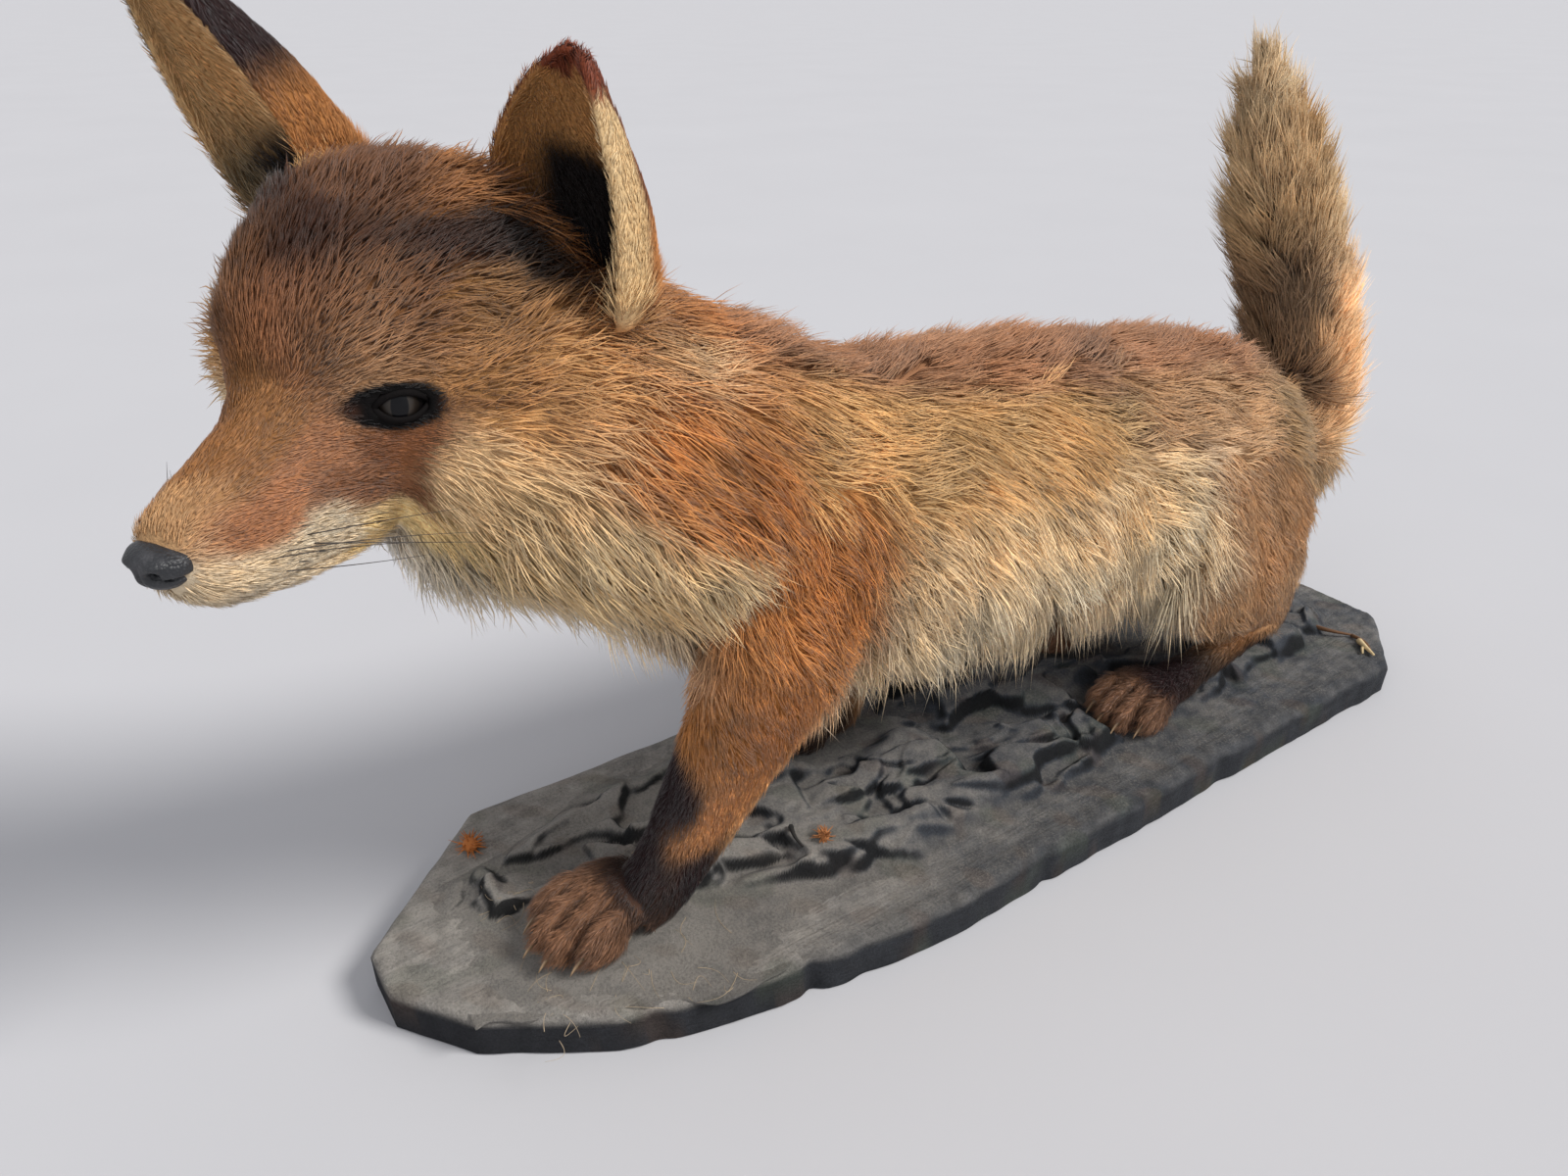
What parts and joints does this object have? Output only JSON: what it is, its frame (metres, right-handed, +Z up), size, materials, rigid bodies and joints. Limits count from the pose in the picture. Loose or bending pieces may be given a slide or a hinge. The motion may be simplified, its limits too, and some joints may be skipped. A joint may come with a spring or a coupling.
{
  "type": "taxidermy fox on a display base",
  "caption": "Life-size mounted red fox stalking forward with a raised tail, fixed to a dark modelled ground board; a still display model.",
  "frame": {"origin": "middle of the board's underside, on the plane the board stands on", "axes": "+Z up, the fox faces -Y, its left side is +X"},
  "size_m": [0.211, 0.7429, 0.4427],
  "materials": {
    "coat": "matte",
    "dark_coat": "matte",
    "nose_leather": "satin",
    "eye_glass": "gloss",
    "board_wood": "matte",
    "ground_relief": "matte"
  },
  "bodies": {
    "root": {"head": "coat", "lower_jaw": "coat", "neck": "coat", "trunk": "coat", "tail": "coat", "ear_left": "coat", "ear_right": "coat", "eye_left": "eye_glass", "eye_right": "eye_glass", "nose": "nose_leather", "fore_leg_left": "coat", "fore_leg_right": "coat", "fore_paw_left": "dark_coat", "fore_paw_right": "dark_coat", "thigh_left": "coat", "thigh_right": "coat", "hind_foot_left": "dark_coat", "hind_foot_right": "dark_coat", "base_board": "board_wood", "base_ground": "ground_relief"}
  },
  "joints": []
}
